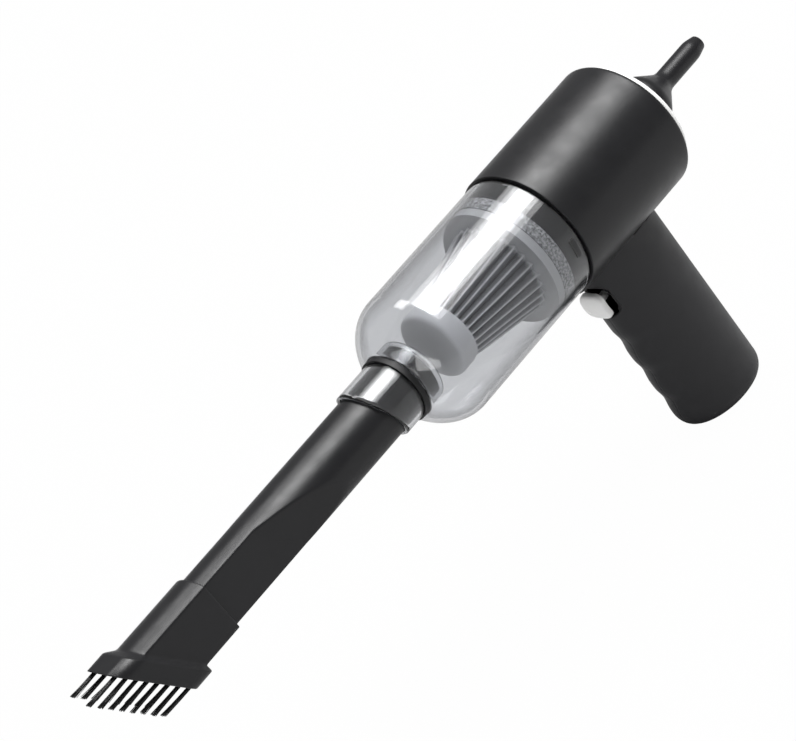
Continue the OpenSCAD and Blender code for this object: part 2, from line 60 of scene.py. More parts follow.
bodyLow, bodyHigh = boxOf("body_shell")
cupHigh = boxOf("dust_cup")[1]
tubeHigh = boxOf("crevice_tube")[1]
blowerLow, blowerHigh = boxOf("blower_nozzle")
axisZ = (bodyLow[2] + bodyHigh[2]) / 2
bodyR = bodyHigh[0]
cupR = cupHigh[0]


# sRGB hex to the linear values that the shaders take
def colour(hexText):
    value = np.array([int(hexText[i:i + 2], 16) / 255 for i in (1, 3, 5)])
    linear = np.where(value <= 0.04045, value / 12.92, ((value + 0.055) / 1.055) ** 2.4)
    return (*linear.tolist(), 1.0)


# Adds one shader node: settings are its properties, links its inputs, as a value or a socket
def addNode(tree, kind, settings=None, links=None):
    node = tree.nodes.new(kind)
    for key, value in (settings or {}).items():
        setattr(node, key, value)
    for key, value in (links or {}).items():
        if isinstance(value, bpy.types.NodeSocket):
            tree.links.new(value, node.inputs[key])
        else:
            node.inputs[key].default_value = value
    return node


# Puts points in mm and faces into the scene as one object, its faces turned outwards. With weld,
# doubles are merged and open ends closed first
def addPiece(name, points, faces, weld=False):
    mesh = bpy.data.meshes.new(name)
    mesh.from_pydata((points.reshape(-1, 3) * mm).tolist(), [], faces)
    solid = bmesh.new()
    solid.from_mesh(mesh)
    if weld:
        bmesh.ops.remove_doubles(solid, verts=solid.verts, dist=weldReach)
        bmesh.ops.holes_fill(solid, edges=[e for e in solid.edges if e.is_boundary])
    bmesh.ops.recalc_face_normals(solid, faces=solid.faces)
    solid.to_mesh(mesh)
    solid.free()
    mesh.shade_smooth()
    piece = bpy.data.objects.new(name, mesh)
    bpy.context.scene.collection.objects.link(piece)
    return piece


# Grid of points to a closed piece. rings is (n, m, 3): each ring closes on itself unless it is open,
# and the last ring joins the first if they wrap
def skin(name, rings, wrap=False, openRound=False):
    n, m = rings.shape[:2]
    i = np.arange(n if wrap else n - 1)[:, None]
    j = np.arange(m - 1 if openRound else m)[None, :]
    nextI = (i + 1) % n
    nextJ = (j + 1) % m
    quads = np.stack([i * m + j, i * m + nextJ, nextI * m + nextJ, nextI * m + j], -1).reshape(-1, 4)
    return addPiece(name, rings, quads.tolist(), weld=True)


# Angles of a ring's points, as one row
def turnOf(count):
    return np.linspace(0, tau, count, endpoint=False)[None, :]


# 0 up to low, 1 from high, and 3t^2 - 2t^3 between them
def smoothStep(low, high, value):
    t = np.clip((value - low) / (high - low), 0, 1)
    return t * t * (3 - 2 * t)


# Closed outline with its corners eased: each corner is a quadratic curve that starts and ends one
# cut-back from it, with a support point half a cut-back outside each end of the curve
def easeCorners(corners, cuts, steps=5):
    corners = np.asarray(corners, float)
    cuts = np.asarray(cuts, float)[:, None]
    back = np.roll(corners, 1, 0) - corners
    ahead = np.roll(corners, -1, 0) - corners
    back /= np.linalg.norm(back, axis=1, keepdims=True)
    ahead /= np.linalg.norm(ahead, axis=1, keepdims=True)
    start = corners + back * cuts
    end = corners + ahead * cuts
    t = np.linspace(0, 1, steps)[None, :, None]
    curve = (1 - t) ** 2 * start[:, None] + 2 * t * (1 - t) * corners[:, None] + t ** 2 * end[:, None]
    before = (start + back * cuts / 2)[:, None]
    after = (end + ahead * cuts / 2)[:, None]
    return np.concatenate([before, curve, after], 1).reshape(-1, 2)


# Rings about the motor axis: x = r cos, z = r sin. A point slides along y by minus its height times the
# slant's tangent and its share, so a ring with a share of 1 lies in a plane that leans forward at the top
def ringsAbout(angle, radius, y, slant=0.0, share=0.0):
    z = radius * np.sin(angle)
    slide = -math.tan(math.radians(slant)) * z * share
    return np.stack([radius * np.cos(angle), y + slide, z + axisZ], -1)


# Closed outline of (radius, y) points turned about the motor axis
def revolve(name, outline, around=144, slant=0.0, share=0.0):
    return skin(name, ringsAbout(turnOf(around), outline[:, :1], outline[:, 1:], slant, share), wrap=True)


# Distance from the middle to the edge of a box of half sides a, b with corners of radius c: to the
# side, to the top, or to the corner's circle where the ray meets neither
def roundedBox(angle, a, b, c):
    c = np.minimum(np.minimum(a, b), c)
    cs = np.abs(np.cos(angle)) + nearZero
    sn = np.abs(np.sin(angle)) + nearZero
    toSide = a / cs
    toTop = b / sn
    middle = (a - c) * cs + (b - c) * sn
    inside = np.maximum(middle ** 2 - (a - c) ** 2 - (b - c) ** 2 + c ** 2, 0)
    toCorner = middle + np.sqrt(inside)
    onSide = toSide * sn <= b - c
    onTop = toTop * cs <= a - c
    return np.where(onSide, toSide, np.where(onTop, toTop, toCorner))


# Radius of a circle cut to two flats, each at half from the middle: the smaller of circle and flat,
# blended by a quadratic where they come within soft of each other
def cutRound(angle, radius, half, soft):
    flat = half / np.maximum(np.abs(np.cos(angle)), nearZero)
    gap = np.clip(0.5 + 0.5 * (flat - radius) / soft, 0, 1)
    return flat * (1 - gap) + radius * gap - soft * gap * (1 - gap)


# Gives a piece its material and body, and hides the CAD nodes that it stands for
def finish(piece, body, slotName, material, *replaced):
    piece.data.materials.clear()
    piece.data.materials.append(material)
    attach(piece, body)
    if replaced:
        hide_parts(*replaced)
    print("made", piece.name)


# Cuts a shape out of a piece for good, and deletes the cutter
def carve(piece, cutter):
    change = piece.modifiers.new("cut", "BOOLEAN")
    change.operation = "DIFFERENCE"
    change.solver = "EXACT"
    change.object = cutter
    bpy.context.view_layer.update()
    carved = bpy.data.meshes.new_from_object(piece.evaluated_get(bpy.context.evaluated_depsgraph_get()))
    piece.modifiers.clear()
    whole, spare = piece.data, cutter.data
    piece.data = carved
    bpy.data.objects.remove(cutter)
    for mesh in (whole, spare):
        bpy.data.meshes.remove(mesh)


# Camera: the photograph's own view, rolled so that the motor axis climbs to the right
cameraSet = {
    "lean": 29.0,      # how far the suction end turns towards the camera, degrees
    "roll": 35.0,      # how far the grip turns away, degrees
    "climb": 48.94,    # slope of the motor axis in the picture, degrees
    "distance": 1500.0,
    "lens": 176.4,
    "sensor": 36.0,
    "farthest": 20000.0,
    "aimY": -125.1,
    "aimPixel": (417.7, 363.9),
    "frame": (796, 741),
}


# Sets the camera and returns its directions: along the motor axis, down the picture, towards the camera
def makeCamera(s):
    lean, roll, climb = (math.radians(s[k]) for k in ("lean", "roll", "climb"))
    along = Vector((math.cos(roll) * math.sin(lean), math.cos(lean), math.sin(roll) * math.sin(lean)))
    down = Vector((math.sin(roll), 0, -math.cos(roll)))
    back = Vector((math.cos(roll) * math.cos(lean), -math.sin(lean), math.sin(roll) * math.cos(lean)))
    right = math.cos(climb) * along + math.sin(climb) * down
    up = math.sin(climb) * along - math.cos(climb) * down
    data = bpy.data.cameras.new("camera")
    camera = bpy.data.objects.new("camera", data)
    bpy.context.scene.collection.objects.link(camera)
    data.lens = s["lens"]
    data.sensor_width = s["sensor"]
    data.clip_end = s["farthest"] * mm
    wide, high = s["frame"]
    data.shift_x = -(s["aimPixel"][0] - wide / 2) / wide
    data.shift_y = (s["aimPixel"][1] - high / 2) / wide
    place = Vector((0, s["aimY"], axisZ)) * mm + back * s["distance"] * mm
    turn = Matrix((right, up, back)).transposed().to_4x4()
    camera.matrix_world = Matrix.Translation(place) @ turn
    bpy.context.scene.camera = camera
    return along, down, back


viewAxes = makeCamera(cameraSet)
print("camera set")


# Material with an empty node tree
def newMaterial(name):
    material = bpy.data.materials.new(name)
    material.use_nodes = True
    material.node_tree.nodes.clear()
    return material, material.node_tree


# Map Range inputs that take the usual span of a noise to low and high
def spanTo(noise, low, high):
    return {"Value": noise.outputs["Fac"], "From Min": noiseSpan[0], "From Max": noiseSpan[1],
            "To Min": low, "To Max": high}


plasticSet = {
    "grainSize": 0.35,      # spark-eroded mould texture, mm, drawn coarser than the real 0.05
    "grainDepth": 0.012,
    "patchSize": 9.0,       # slow change of gloss where hands have rubbed, mm
    "edge": 0.25,           # radius that light catches along moulded edges, mm
}


# Moulded plastic: one colour, a fine mould grain that breaks up the light, and gloss that drifts
def mouldedPlastic(name, hexText, rough, drift, ior=1.5, grain=1.0):
    s = plasticSet
    material, tree = newMaterial(name)
    place = addNode(tree, "ShaderNodeTexCoord").outputs["Object"]
    fine = addNode(tree, "ShaderNodeTexNoise", {},
                   {"Vector": place, "Scale": 1 / (s["grainSize"] * mm), "Detail": 2.0, "Roughness": 0.6})
    slow = addNode(tree, "ShaderNodeTexNoise", {},
                   {"Vector": place, "Scale": 1 / (s["patchSize"] * mm), "Detail": 4.0, "Roughness": 0.55})
    gloss = addNode(tree, "ShaderNodeMapRange", {}, spanTo(slow, rough - drift, rough + drift))
    rounded = addNode(tree, "ShaderNodeBevel", {"samples": 4}, {"Radius": s["edge"] * mm})
    bump = addNode(tree, "ShaderNodeBump", {},
                   {"Height": fine.outputs["Fac"], "Strength": 0.35,
                    "Distance": s["grainDepth"] * grain * mm, "Normal": rounded.outputs["Normal"]})
    shader = addNode(tree, "ShaderNodeBsdfPrincipled", {},
                     {"Base Color": colour(hexText), "Roughness": gloss.outputs["Result"], "IOR": ior,
                      "Normal": bump.outputs["Normal"]})
    addNode(tree, "ShaderNodeOutputMaterial", {}, {"Surface": shader.outputs["BSDF"]})
    return material


styreneSet = {"hex": "#dedfe1", "edgeHex": "#7a7b7e", "rough": 0.05, "drift": 0.5, "ior": 1.45,
              "scuffSize": 14.0,             # slow change of gloss from wiping, mm
              "edgeShare": (0.45, 0.86)}     # how far a face turns away before it greys, and is greyest


# Clear moulded styrene: smooth, with a faint grey body that gathers where the wall is seen edge on
def clearStyrene(name, s):
    material, tree = newMaterial(name)
    place = addNode(tree, "ShaderNodeTexCoord").outputs["Object"]
    scuffs = addNode(tree, "ShaderNodeTexNoise", {},
                     {"Vector": place, "Scale": 1 / (s["scuffSize"] * mm), "Detail": 3.0})
    gloss = addNode(tree, "ShaderNodeMapRange", {},
                    {"Value": scuffs.outputs["Fac"],
                     "To Min": s["rough"] * (1 - s["drift"]), "To Max": s["rough"] * (1 + s["drift"])})
    facing = addNode(tree, "ShaderNodeLayerWeight", {}, {"Blend": 0.5})
    tint = addNode(tree, "ShaderNodeValToRGB", {}, {"Fac": facing.outputs["Facing"]})
    tones = zip(tint.color_ramp.elements, s["edgeShare"], (s["hex"], s["edgeHex"]))
    for stop, position, hexText in tones:
        stop.position = position
        stop.color = colour(hexText)
    shader = addNode(tree, "ShaderNodeBsdfPrincipled", {},
                     {"Base Color": tint.outputs["Color"], "Roughness": gloss.outputs["Result"],
                      "IOR": s["ior"], "Transmission Weight": 1.0})
    addNode(tree, "ShaderNodeOutputMaterial", {}, {"Surface": shader.outputs["BSDF"]})
    return material


foamSet = {"darkHex": "#626365", "lightHex": "#d2d3d5", "toneShare": (0.35, 0.68), "rough": 0.9,
           "cell": 1.1,      # open cells, mm
           "depth": 0.2}


# Open-cell grey foam: speckled light and dark at the size of its cells, with no shine
def openFoam(name, s):
    material, tree = newMaterial(name)
    place = addNode(tree, "ShaderNodeTexCoord").outputs["Object"]
    cells = addNode(tree, "ShaderNodeTexNoise", {},
                    {"Vector": place, "Scale": 1 / (s["cell"] * mm), "Detail": 3.0, "Roughness": 0.7})
    ramp = addNode(tree, "ShaderNodeValToRGB", {}, {"Fac": cells.outputs["Fac"]})
    tones = zip(ramp.color_ramp.elements, s["toneShare"], (s["darkHex"], s["lightHex"]))
    for stop, position, hexText in tones:
        stop.position = position
        stop.color = colour(hexText)
    bump = addNode(tree, "ShaderNodeBump", {},
                   {"Height": cells.outputs["Fac"], "Strength": 0.6, "Distance": s["depth"] * mm})
    shader = addNode(tree, "ShaderNodeBsdfPrincipled", {},
                     {"Base Color": ramp.outputs["Color"], "Roughness": s["rough"],
                      "Normal": bump.outputs["Normal"]})
    addNode(tree, "ShaderNodeOutputMaterial", {}, {"Surface": shader.outputs["BSDF"]})
    return material


# The felt's colours: painted shade for the folds, a tone for the flanks, and a painted highlight for the
# ridges
feltSet = {"foldShadeHex": "#3b3b3d", "sideHex": "#65666a", "ridgeHighlightHex": "#d2d3d5",
           "bendShare": (0.44, 0.56),      # Pointiness where a fold is darkest, and a ridge palest
           "tone": (0.75, 1.25), "rough": 0.85,
           "fibre": 0.5,                   # clumps of fibre, mm, drawn coarser than the real 0.05
           "depth": 0.05}


# Folded felt: dull, with painted shade in the folds and a painted highlight along the ridges, mottled by its
# fibres
def foldedFelt(name, s):
    material, tree = newMaterial(name)
    place = addNode(tree, "ShaderNodeTexCoord").outputs["Object"]
    fibres = addNode(tree, "ShaderNodeTexNoise", {},
                     {"Vector": place, "Scale": 1 / (s["fibre"] * mm), "Detail": 3.0, "Roughness": 0.7})
    bend = addNode(tree, "ShaderNodeNewGeometry").outputs["Pointiness"]
    # By the mesh's Pointiness, this ramp paints shade into the folds and a highlight onto the ridges
    ramp = addNode(tree, "ShaderNodeValToRGB", {}, {"Fac": bend})
    tones = zip(ramp.color_ramp.elements, s["bendShare"], (s["foldShadeHex"], s["ridgeHighlightHex"]))
    for stop, position, hexText in tones:
        stop.position = position
        stop.color = colour(hexText)
    ramp.color_ramp.elements.new(sum(s["bendShare"]) / 2).color = colour(s["sideHex"])
    tone = addNode(tree, "ShaderNodeMapRange", {}, spanTo(fibres, *s["tone"]))
    shade = addNode(tree, "ShaderNodeVectorMath", {"operation": "SCALE"},
                    {"Vector": ramp.outputs["Color"], "Scale": tone.outputs["Result"]})
    bump = addNode(tree, "ShaderNodeBump", {},
                   {"Height": fibres.outputs["Fac"], "Strength": 0.5, "Distance": s["depth"] * mm})
    shader = addNode(tree, "ShaderNodeBsdfPrincipled", {},
                     {"Base Color": shade.outputs["Vector"], "Roughness": s["rough"],
                      "Normal": bump.outputs["Normal"]})
    addNode(tree, "ShaderNodeOutputMaterial", {}, {"Surface": shader.outputs["BSDF"]})
    return material


steelSet = {"hex": "#b9bbbe", "rough": 0.3, "drift": 0.2,
            "line": 1.2}      # tool marks, mm, drawn coarser than the real 0.1


# Turned or drawn steel: fine lines round the motor axis that spread its highlights
def turnedSteel(name, s):
    material, tree = newMaterial(name)
    place = addNode(tree, "ShaderNodeTexCoord").outputs["Object"]
    lines = addNode(tree, "ShaderNodeTexWave", {"bands_direction": "Y"},
                    {"Vector": place, "Scale": 1 / (s["line"] * mm), "Distortion": 1.5, "Detail": 2.0})
    gloss = addNode(tree, "ShaderNodeMapRange", {},
                    {"Value": lines.outputs["Fac"],
                     "To Min": s["rough"] * (1 - s["drift"]), "To Max": s["rough"] * (1 + s["drift"])})
    shader = addNode(tree, "ShaderNodeBsdfPrincipled", {},
                     {"Base Color": colour(s["hex"]), "Metallic": 1.0,
                      "Roughness": gloss.outputs["Result"]})
    addNode(tree, "ShaderNodeOutputMaterial", {}, {"Surface": shader.outputs["BSDF"]})
    return material


# Satin black ABS has a soft broad sheen, the grained ABS of the grip a duller one, and the parts inside
# almost none. Polished white ABS holds a sharp highlight, the pale filter frame a soft one
satinAbs = mouldedPlastic("moulded_black_abs", "#1f1f21", rough=0.34, drift=0.05, ior=1.36)
matteAbs = mouldedPlastic("grained_black_abs", "#29292b", rough=0.46, drift=0.05, ior=1.36, grain=1.6)
darkAbs = mouldedPlastic("dark_inner_plastic", "#1b1b1d", rough=0.5, drift=0.06, ior=1.4)
whiteAbs = mouldedPlastic("polished_white_abs", "#fbfbfa", rough=0.26, drift=0.04, grain=0.3)
greyAbs = mouldedPlastic("pale_filter_frame_plastic", "#c6c7c9", rough=0.4, drift=0.05)
clearCup = clearStyrene("clear_styrene", styreneSet)
pleatFelt = foldedFelt("pleated_filter_felt", feltSet)
sealFoam = openFoam("grey_seal_foam", foamSet)
bristleNylon = mouldedPlastic("black_nylon_bristle", "#121213", rough=0.38, drift=0.03, grain=0.0)
steel = turnedSteel("turned_steel", steelSet)
cellWrap = mouldedPlastic("blue_cell_wrap", "#2f5f9c", rough=0.3, drift=0.05)
boardLacquer = mouldedPlastic("green_board_lacquer", "#1f5a3c", rough=0.35, drift=0.05)
print("materials made")

# The finish of each CAD node, also of those that a piece below stands for
nodeFinish = {
    "rear_cover": whiteAbs, "bayonet_ring": darkAbs, "filter_carrier": greyAbs, "filter_seal": sealFoam,
    "grip_screws": steel, "base_cover": darkAbs, "fan_shroud": darkAbs, "motor_mount": darkAbs,
    "motor_can": steel, "front_bearing": steel, "rear_bearing": steel, "motor_shaft": steel,
    "impeller": greyAbs, "impeller_nut": steel, "cell_tray": darkAbs, "battery_cells": cellWrap,
    "circuit_board": boardLacquer, "charge_socket": steel, "power_switch": darkAbs,
    "trigger_spring": steel, "trigger": whiteAbs, "dust_cup": clearCup, "neck_ring": darkAbs,
    "crevice_tube": satinAbs, "brush_head": satinAbs, "bristle_row_left": bristleNylon,
    "bristle_row_right": bristleNylon, "blower_nozzle": satinAbs, "body_shell": satinAbs,
    "grip_left": matteAbs, "grip_right": matteAbs, "filter_pleats": pleatFelt, "filter_cap": greyAbs,
}
for nodeName, material in nodeFinish.items():
    mesh = cadNodes[nodeName].data
    mesh.materials.clear()
    mesh.materials.append(material)
print("node finishes set")

# Motor housing: a plain moulded tube with eased edges
housingSet = {"wall": 2.2, "rearLip": 2.0, "rearHole": 25.6,
              "frontEase": 0.35, "rearEase": 1.5, "lipEase": 0.3}


# Outline of the tube's wall with its rear lip, eased and turned about the motor axis
def makeHousing(s):
    front, rear = bodyLow[1], bodyHigh[1]
    inner = bodyR - s["wall"]
    lip = rear - s["rearLip"]
    corners = [(bodyR, front), (bodyR, rear), (s["rearHole"], rear), (s["rearHole"], lip), (inner, lip),
               (inner, front)]
    cuts = [s["frontEase"], s["rearEase"], s["lipEase"], s["lipEase"], s["lipEase"], s["frontEase"]]
    return revolve("motor_housing_tube", easeCorners(corners, cuts))


finish(makeHousing(housingSet), "housing", "black_plastic", satinAbs, "body_shell")

# Dust cup: clear shell with an elliptical dome, a slanted neck and the duct that carries on inside
cupSet = {
    "wall": 1.8, "barrel": 69.2, "dome": 22.0,
    "neck": 14.5, "bore": 12.9,          # radii of the neck, outside and inside
    "neckOut": 14.0, "ductIn": 13.0,     # reach of the neck ahead of the nose, and of the duct behind it
    "slant": 21.0, "slantEase": 1.0,
    "edge": 0.35, "edgeShare": 0.3,      # rims are rounded by edge, their middle point at this share of it
    "hold": 1.0, "rimHold": 2.0,         # loops that keep the shading of flat walls apart from their rims
    "neckHold": (0.5, 1.2),              # the same, in front of the dome
    "ductHold": (2.5, 1.8),              # and behind it
    "domeSteps": 28, "around": 192,
}


# Outline from the barrel over the dome, r = R sin a and y = -D cos a, out along the neck, back through its
# bore and duct, and along the inner dome. The slant fades in from the nose to the neck's rim
def makeCup(s):
    rear = cupHigh[1]
    nose = rear - s["barrel"] - s["dome"]
    domeY = nose + s["dome"]
    inner = cupR - s["wall"]
    e, hold, neck, bore = s["edge"], s["hold"], s["neck"], s["bore"]
    outEnd = math.asin(neck / cupR)
    inEnd = math.asin(neck / inner)
    a = np.linspace(math.pi / 2, outEnd, s["domeSteps"])
    outerDome = np.stack([cupR * np.sin(a), domeY - s["dome"] * np.cos(a)], -1)
    b = np.linspace(inEnd, math.pi / 2, s["domeSteps"])
    innerDome = np.stack([inner * np.sin(b), domeY - (s["dome"] - s["wall"]) * np.cos(b)], -1)
    mouth = nose - s["neckOut"]
    neckBack = domeY - s["dome"] * math.cos(outEnd)
    bevel = e * s["edgeShare"]
    rim = [(neck, neckBack - s["neckHold"][0]), (neck, neckBack - s["neckHold"][1]),
           (neck, mouth + s["rimHold"]), (neck, mouth + e), (neck - bevel, mouth + bevel),
           (neck - e, mouth), (bore + e, mouth), (bore + bevel, mouth + bevel), (bore, mouth + e),
           (bore, mouth + s["rimHold"])]
    ductEnd = nose + s["ductIn"]
    innerNose = nose + s["wall"]
    duct = [(bore, ductEnd - hold), (bore, ductEnd - e), (bore + e, ductEnd), (neck - e, ductEnd),
            (neck, ductEnd - e), (neck, ductEnd - hold), (neck, innerNose + s["ductHold"][0]),
            (neck, innerNose + s["ductHold"][1])]
    back = [(inner, rear - hold), (inner, rear - e), (inner + e, rear), (cupR - e, rear), (cupR, rear - e),
            (cupR, rear - hold)]
    outline = np.concatenate([outerDome, rim, duct, innerDome, back])
    share = 1 - smoothStep(mouth + s["slantEase"], nose - s["slantEase"], outline[:, 1:])
    return revolve("clear_dust_cup", outline, s["around"], s["slant"], share)


finish(makeCup(cupSet), "cup", "clear_plastic", clearCup, "dust_cup")

# Crevice tube: round where it plugs into the neck, cut to two flats ahead of it, mouth slanted
tubeSet = {
    "radius": 12.85, "wall": 1.8, "round": 60.0, "ramp": 32.0, "halfThick": 6.5, "soft": 0.5,
    "slant": 39.0, "slantFrom": 3.0, "slantTo": 34.0,     # it fades out behind the mouth, between these
    "mouthY": -292.8, "ease": 0.4, "hold": 1.0,
    "rampReach": 13.0,                                    # the slanted ramp spreads this far to each side
    "fineSteps": 72, "coarseSteps": 20, "around": 192, "settle": 4,
}


# Radius at an angle and y, cut to flats whose depth grows along the ramp. The ramp's own start leans with
# the slant, so the depth hangs on the radius that it gives, and a few rounds settle it
def tubeSection(angle, y, s, grow):
    start = tubeHigh[1] - s["round"]
    slope = (s["radius"] - s["halfThick"]) / s["ramp"]
    radius = s["radius"] + grow
    lean = math.tan(math.radians(s["slant"]))
    out = radius + 0 * (angle + y)
    for _ in range(s["settle"]):
        sunk = slope * np.clip(start - y - lean * out * np.sin(angle), 0, s["ramp"])
        out = cutRound(angle, radius, radius - sunk, s["soft"])
    return out


# The outer skin from mouth to rear and the inner one back again, each eased at its two ends
def makeTube(s):
    rear, mouth, hold = tubeHigh[1], s["mouthY"], s["hold"]
    rampRear = rear - s["round"]
    rampFront = rampRear - s["ramp"]
    reach = s["rampReach"]
    stations = np.unique(np.concatenate([
        [mouth, mouth + s["ease"], mouth + 2 * hold],
        np.linspace(mouth + 3 * hold, rampFront - reach - hold, s["coarseSteps"]),
        np.linspace(rampFront - reach, rampRear + reach - hold, s["fineSteps"]),
        np.linspace(rampRear + reach, rear - 1.5 * hold, s["coarseSteps"]),
        [rear - hold, rear - s["ease"], rear]]))
    angle = turnOf(s["around"])
    y = stations[:, None]
    edge = s["ease"] * (1 - smoothStep(0, s["ease"], np.minimum(y - mouth, rear - y)))
    outer = tubeSection(angle, y, s, 0) - edge
    inner = tubeSection(angle, y, s, -s["wall"]) + edge
    radius = np.concatenate([outer, inner[::-1]])
    yAll = np.concatenate([y, y[::-1]])
    share = 1 - smoothStep(mouth + s["slantFrom"], mouth + s["slantTo"], yAll)
    return skin("crevice_tube_moulding", ringsAbout(angle, radius, yAll, s["slant"], share), wrap=True)


finish(makeTube(tubeSet), "tube", "black_plastic", satinAbs, "crevice_tube")

# Brush head: a sleeve over the tube's flats that flares to a slanted shoe
brushSet = {"gap": 0.1, "wall": 1.3, "shoeOut": 2.4, "corner": 6.0, "sleeveRear": -259.1, "faceY": -299.3,
            "shoeLong": 9.5, "chamfer": 3.2, "lip": 6.5, "slant": 39.0, "sleeveTilt": 8.0, "ease": 0.5,
            "slotHalf": 3.1, "flatLeft": 0.1, "around": 192}


# Rings from the face back over the shoe and sleeve, and forward through the seat and the slot. A ring is
# the tube's own section grown outwards, blended by its share to a box with round corners
def makeBrush(s):
    gap, e, wall = s["gap"], s["ease"], tubeSet["wall"]
    sleeve = gap + s["wall"]
    shoe = sleeve + s["shoeOut"]
    face, rear = s["faceY"], s["sleeveRear"]
    shoeBack = face + s["shoeLong"]
    neckY = shoeBack + s["chamfer"]
    seatEnd = face + s["lip"]
    tilt = math.tan(math.radians(s["sleeveTilt"])) / math.tan(math.radians(s["slant"]))
    # y, growth over the tube, share of the box, share of the slant
    outside = [(face, shoe - e, 1, 1), (face + 0.15 * e, shoe - 0.4 * e, 1, 1),
               (face + 0.6 * e, shoe - 0.06 * e, 1, 1), (face + 1.2 * e, shoe, 1, 1),
               (shoeBack - 0.8 * e, shoe, 1, 1), (shoeBack - 0.2 * e, shoe - 0.1 * e, 1, 1),
               (shoeBack + e, shoe - 0.6 * e, 0.9, 1), (neckY - 2 * e, sleeve + 0.7 * e, 0.15, 1),
               (neckY - 0.4 * e, sleeve + 0.08 * e, 0.02, 1), (neckY + 0.6 * e, sleeve, 0, 1),
               (neckY + 3 * e, sleeve, 0, 1), (rear - 2 * e, sleeve, 0, tilt),
               (rear - 0.8 * e, sleeve, 0, tilt), (rear - 0.2 * e, sleeve - 0.2 * e, 0, tilt),
               (rear, sleeve - 0.7 * e, 0, tilt)]
    seat = [(rear, gap + 0.4 * e, 0, tilt), (rear - 0.6 * e, gap, 0, tilt), (seatEnd + 2 * e, gap, 0, 1),
            (seatEnd, gap, 0, 1)]
    slot = [(seatEnd, -wall, 0, 1), (face + 0.8 * e, -wall, 0, 1), (face, 0.8 * e - wall, 0, 1)]
    rows = np.array(outside + seat + slot)
    angle = turnOf(s["around"])
    y, grow, share, lean = (rows[:, k:k + 1] for k in range(4))
    half = tubeSet["halfThick"] + grow
    half[-len(slot):] += s["slotHalf"] - tubeSet["halfThick"] + wall     # the slot is thinner than the tube
    high = tubeSet["radius"] + grow
    milled = cutRound(angle, high, half, tubeSet["soft"])
    boxed = roundedBox(angle, half, high, np.minimum(s["corner"], half - s["flatLeft"]))
    radius = milled + (boxed - milled) * share
    return skin("brush_shoe", ringsAbout(angle, radius, y, s["slant"], lean), wrap=True)


finish(makeBrush(brushSet), "brush", "black_plastic", satinAbs, "brush_head")

# Bristles: round tufts of fine strands, each a thin tapered rod that bends a little
bristleSet = {
    "tufts": 8, "pitch": 3.98, "rowX": 5.7, "tuftR": 0.74, "strands": 34, "strandR": 0.13, "taper": 0.25,
    "length": 15.0, "short": 2.4,          # the left row has the length, the right row is short by this
    "uneven": (-0.45, 0.25), "root": 1.0,
    "splay": 0.3,                          # share by which a tuft opens at its tips
    "bend": 0.125, "lean": 0.25,           # how far a strand and a whole tuft stray at the tips
    "goldenTurn": 2.399963,                # radians from one root to the next
    "sides": 6, "rows": 6, "seed": 11,
}


# Each strand runs from its root on the slanted face, y = root - length t, and its middle strays by the
# splay, bend and lean times t squared. A tuft's roots lie on a sunflower spiral, r = R sqrt(i / n)
def makeBristles(name, side, length, s):
    rng = np.random.default_rng(s["seed"] + side)
    tuft = np.repeat(np.arange(s["tufts"]), s["strands"])
    count = len(tuft)
    place = np.arange(count) % s["strands"]
    turn = place * s["goldenTurn"]
    reach = np.sqrt((place + 0.5) / s["strands"]) * s["tuftR"]
    tuftX = side * s["rowX"]
    tuftZ = (tuft - (s["tufts"] - 1) / 2) * s["pitch"]
    rootX = tuftX + reach * np.cos(turn)
    rootZ = tuftZ + reach * np.sin(turn)
    rootY = brushSet["faceY"] - math.tan(math.radians(brushSet["slant"])) * rootZ
    t = np.linspace(0, 1, s["rows"])[None, :, None]
    lengths = (length + rng.uniform(*s["uneven"], count))[:, None, None]
    bendX = rng.normal(0, s["bend"], count)[:, None, None]
    bendZ = rng.normal(0, s["bend"], count)[:, None, None]
    lean = rng.normal(0, s["lean"], (s["tufts"], 2))[tuft][:, :, None, None]
    opening = 1 + s["splay"] * t ** 2
    midX = tuftX + (rootX - tuftX)[:, None, None] * opening + (bendX + lean[:, 0]) * t ** 2
    midZ = tuftZ[:, None, None] + (rootZ - tuftZ)[:, None, None] * opening + (bendZ + lean[:, 1]) * t ** 2
    ring = turnOf(s["sides"])[None]
    thick = s["strandR"] * (1 - s["taper"] * t)
    x = midX + thick * np.cos(ring)
    z = midZ + thick * np.sin(ring)
    y = rootY[:, None, None] + s["root"] - (lengths + s["root"]) * t + 0 * ring
    points = np.stack([x, y, z + axisZ], -1)
    n, rows, m = points.shape[:3]
    first = (np.arange(n) * rows * m)[:, None, None]
    i = np.arange(rows - 1)[None, :, None] * m
    j = np.arange(m)[None, None, :]
    k = (j + 1) % m
    here, there = first + i + j, first + i + k
    quads = np.stack([here, there, there + m, here + m], -1).reshape(-1, 4)
    tips = first[:, :, 0] + (rows - 1) * m + j[0]
    ends = first[:, :, 0] + j[0, :, ::-1]
    return addPiece(name, points, quads.tolist() + tips.tolist() + ends.tolist())


for name, side, short, node in (("bristle_tufts_left", 1, 0, "bristle_row_left"),
                                ("bristle_tufts_right", -1, bristleSet["short"], "bristle_row_right")):
    row = makeBristles(name, side, bristleSet["length"] - short, bristleSet)
    finish(row, "brush", "bristle", bristleNylon, node)

# Blower nozzle: turned form with a shouldered base, a cone and a thin tapered stem
blowerSet = {
    "plugLong": 11.0, "plugR": 9.5, "baseR": 12.5, "baseLong": 12.0, "coneLong": 11.4, "stemR": 4.5,
    "stemLong": 21.6, "tipR": 3.3, "bore": 2.6, "wall": 1.8, "floor": 1.0, "around": 96,
    # how far each corner is eased, from the plug's front edge over the tip and back inside
    "cuts": (0.4, 0.3, 1.2, 2.2, 2.6, 1.4, 0.3, 0.25, 0.6, 0.6, 0.4),
}


